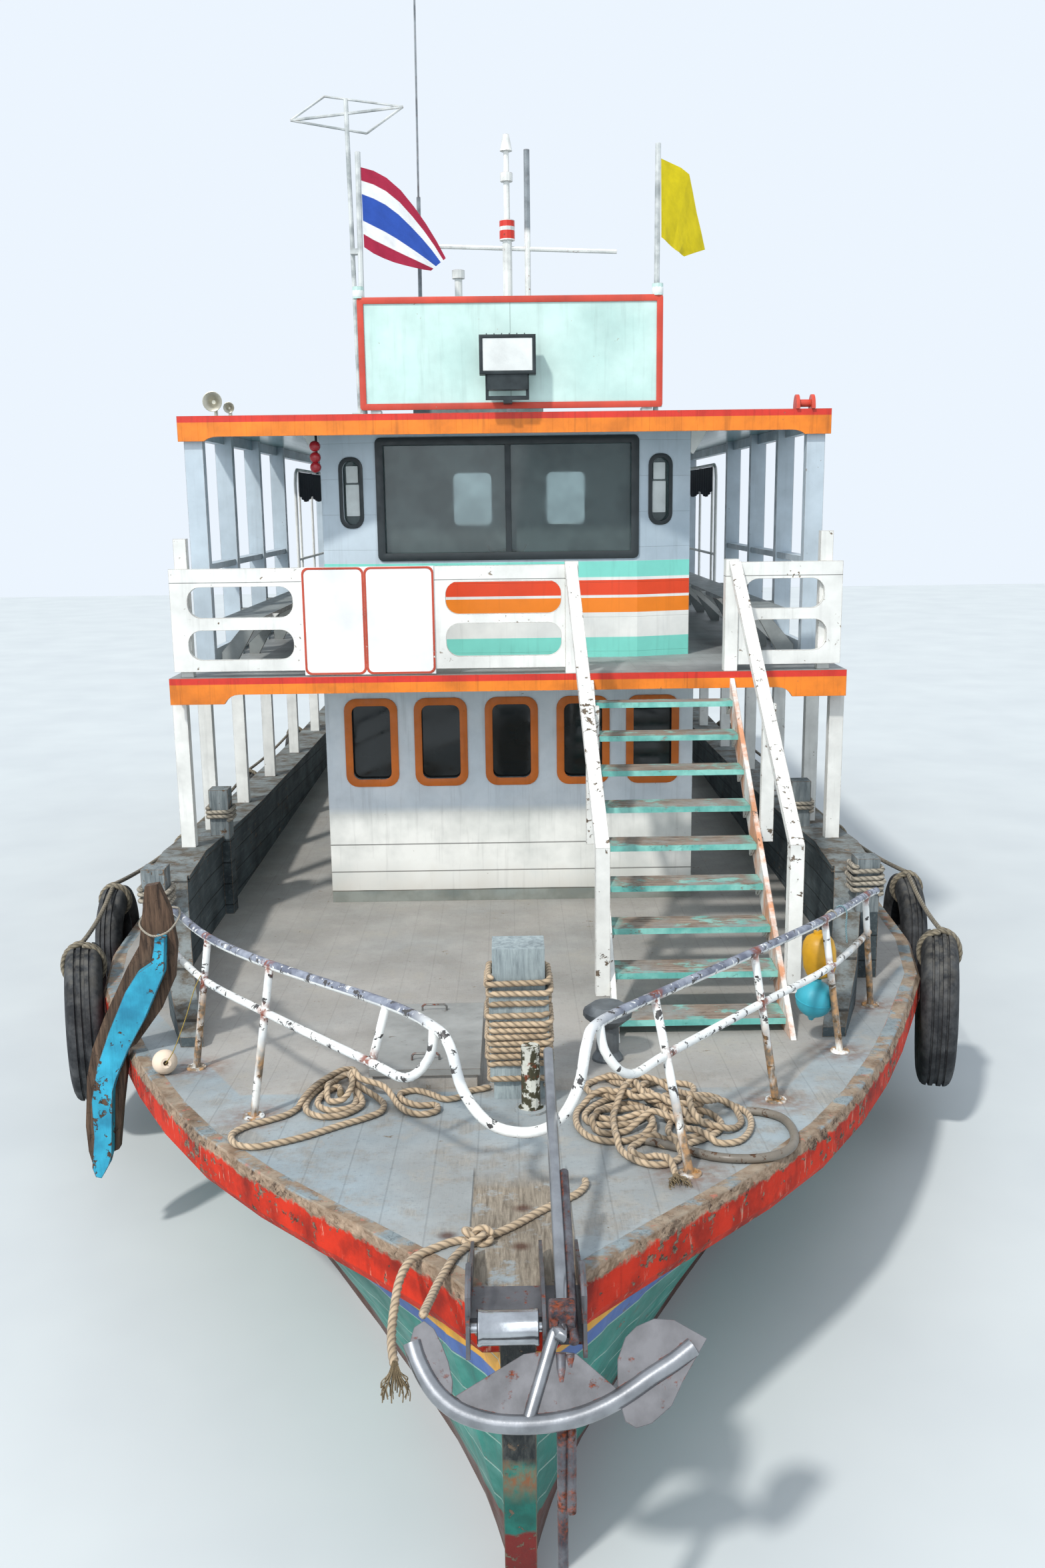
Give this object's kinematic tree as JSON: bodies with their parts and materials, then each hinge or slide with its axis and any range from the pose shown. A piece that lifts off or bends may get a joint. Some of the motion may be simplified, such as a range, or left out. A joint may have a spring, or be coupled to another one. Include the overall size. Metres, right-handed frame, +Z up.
{
  "type": "wooden two-deck passenger ferry",
  "caption": "Wooden passenger ferry with a raked bow, glazed lower cabin, open upper deck with wheelhouse, bow stair, roof sign and mast.",
  "frame": {"origin": "on the waterline, amidships, on the centreline", "axes": "+X to port, +Y aft, +Z up; the bow points along -Y"},
  "size_m": [7.0696, 21.4748, 10.1001],
  "materials": {
    "hull_teal": "gloss paint on planks",
    "engine_grey": "painted casting",
    "old_timber": "worn bare timber",
    "deck_grey": "worn grey deck paint",
    "bulwark_grey": "grey paint, weathered",
    "bronze": "cast bronze",
    "rusty_steel": "rusty steel",
    "white_paint": "white gloss paint, chalked",
    "steel": "dull galvanised",
    "glass": "dark window glass",
    "orange_paint": "orange gloss paint",
    "pale_blue": "pale blue paint",
    "navy_cloth": "dark tarpaulin",
    "varnish": "varnished hardwood",
    "aqua_paint": "aqua paint",
    "red_cloth": "striped cloth",
    "yellow_cloth": "yellow cloth",
    "rubber": "worn tyre rubber",
    "cyan_paint": "cyan paint on hardwood",
    "rope": "laid rope, weathered"
  },
  "bodies": {
    "vessel": {"hull": "hull_teal", "engine_block": "engine_grey", "keel_and_stem": "hull_teal", "rubbing_strake": "old_timber", "main_deck": "deck_grey", "bulwark_port": "bulwark_grey", "bulwark_starboard": "bulwark_grey", "stern_bulwark": "bulwark_grey", "sampson_post": "old_timber", "mushroom_bollard": "bulwark_grey", "pulpit_rail": "white_paint", "bow_roller_frame": "rusty_steel", "anchor": "rusty_steel", "cabin_front": "white_paint", "cabin_side_port": "white_paint", "cabin_side_starboard": "white_paint", "cabin_aft": "white_paint", "cabin_glass": "glass", "upper_deck": "orange_paint", "roof": "orange_paint", "lower_posts_port": "white_paint", "lower_posts_starboard": "white_paint", "upper_posts_port": "pale_blue", "upper_posts_starboard": "pale_blue", "side_bench_port": "bulwark_grey", "side_bench_starboard": "bulwark_grey", "pipe_frame_port": "white_paint", "pipe_frame_starboard": "white_paint", "side_curtain_port": "navy_cloth", "side_curtain_starboard": "navy_cloth", "front_rail_port": "white_paint", "front_rail_starboard": "white_paint", "stair_flight": "white_paint", "stair_handrail_starboard": "white_paint", "stair_handrail_port": "white_paint", "wheelhouse_front": "pale_blue", "wheelhouse_side_port": "pale_blue", "wheelhouse_side_starboard": "pale_blue", "wheelhouse_back": "pale_blue", "wheelhouse_glass": "glass", "console": "varnish", "aft_rail": "white_paint", "sign_board": "aqua_paint", "floodlight": "steel", "mast": "bulwark_grey", "flag_striped": "red_cloth", "flag_yellow": "yellow_cloth", "tyre_fenders_port": "rubber", "tyre_fenders_starboard": "rubber", "curved_timbers": "cyan_paint", "rope_heap_starboard": "rope", "rope_heap_port": "rope", "anchor_line": "rope"},
    "propeller": {"propeller": "bronze"},
    "rudder": {"rudder": "rusty_steel"},
    "helm_wheel": {"helm_wheel": "varnish"},
    "wheelhouse_door_port": {"wheelhouse_door_port": "pale_blue"},
    "wheelhouse_door_starboard": {"wheelhouse_door_starboard": "pale_blue"},
    "hatch_lid": {"hatch_lid": "deck_grey"},
    "bow_roller": {"bow_roller": "steel"}
  },
  "joints": [
    {"name": "propeller_spin", "type": "hinge", "parent": "vessel", "child": "propeller", "pos_m": [0, 8.44, -0.7], "axis": [0, 1, 0], "continuous": true},
    {"name": "rudder_turn", "type": "hinge", "parent": "vessel", "child": "rudder", "pos_m": [0, 9.3, -0.7], "axis": [0, 0, 1], "range_deg": [-35, 35]},
    {"name": "helm_spin", "type": "hinge", "parent": "vessel", "child": "helm_wheel", "pos_m": [0, -2.89, 4.08], "axis": [0, -1, 0], "range_deg": [-360, 360]},
    {"name": "door_port_slide", "type": "slide", "parent": "vessel", "child": "wheelhouse_door_port", "axis": [0, 1, 0], "range_m": [0, 0.62]},
    {"name": "door_starboard_slide", "type": "slide", "parent": "vessel", "child": "wheelhouse_door_starboard", "axis": [0, 1, 0], "range_m": [0, 0.62]},
    {"name": "hatch_lid_hinge", "type": "hinge", "parent": "vessel", "child": "hatch_lid", "pos_m": [-0.84, -7.34, 1.47629], "axis": [0, -0.9974, 0.0718], "range_deg": [0, 100]},
    {"name": "bow_roller_spin", "type": "hinge", "parent": "vessel", "child": "bow_roller", "pos_m": [-0.035, -10.73, 1.745], "axis": [1, 0, 0], "continuous": true}
  ],
  "couplings": [
    {"joint": "helm_spin", "follows": "rudder_turn", "ratio": 10}
  ]
}
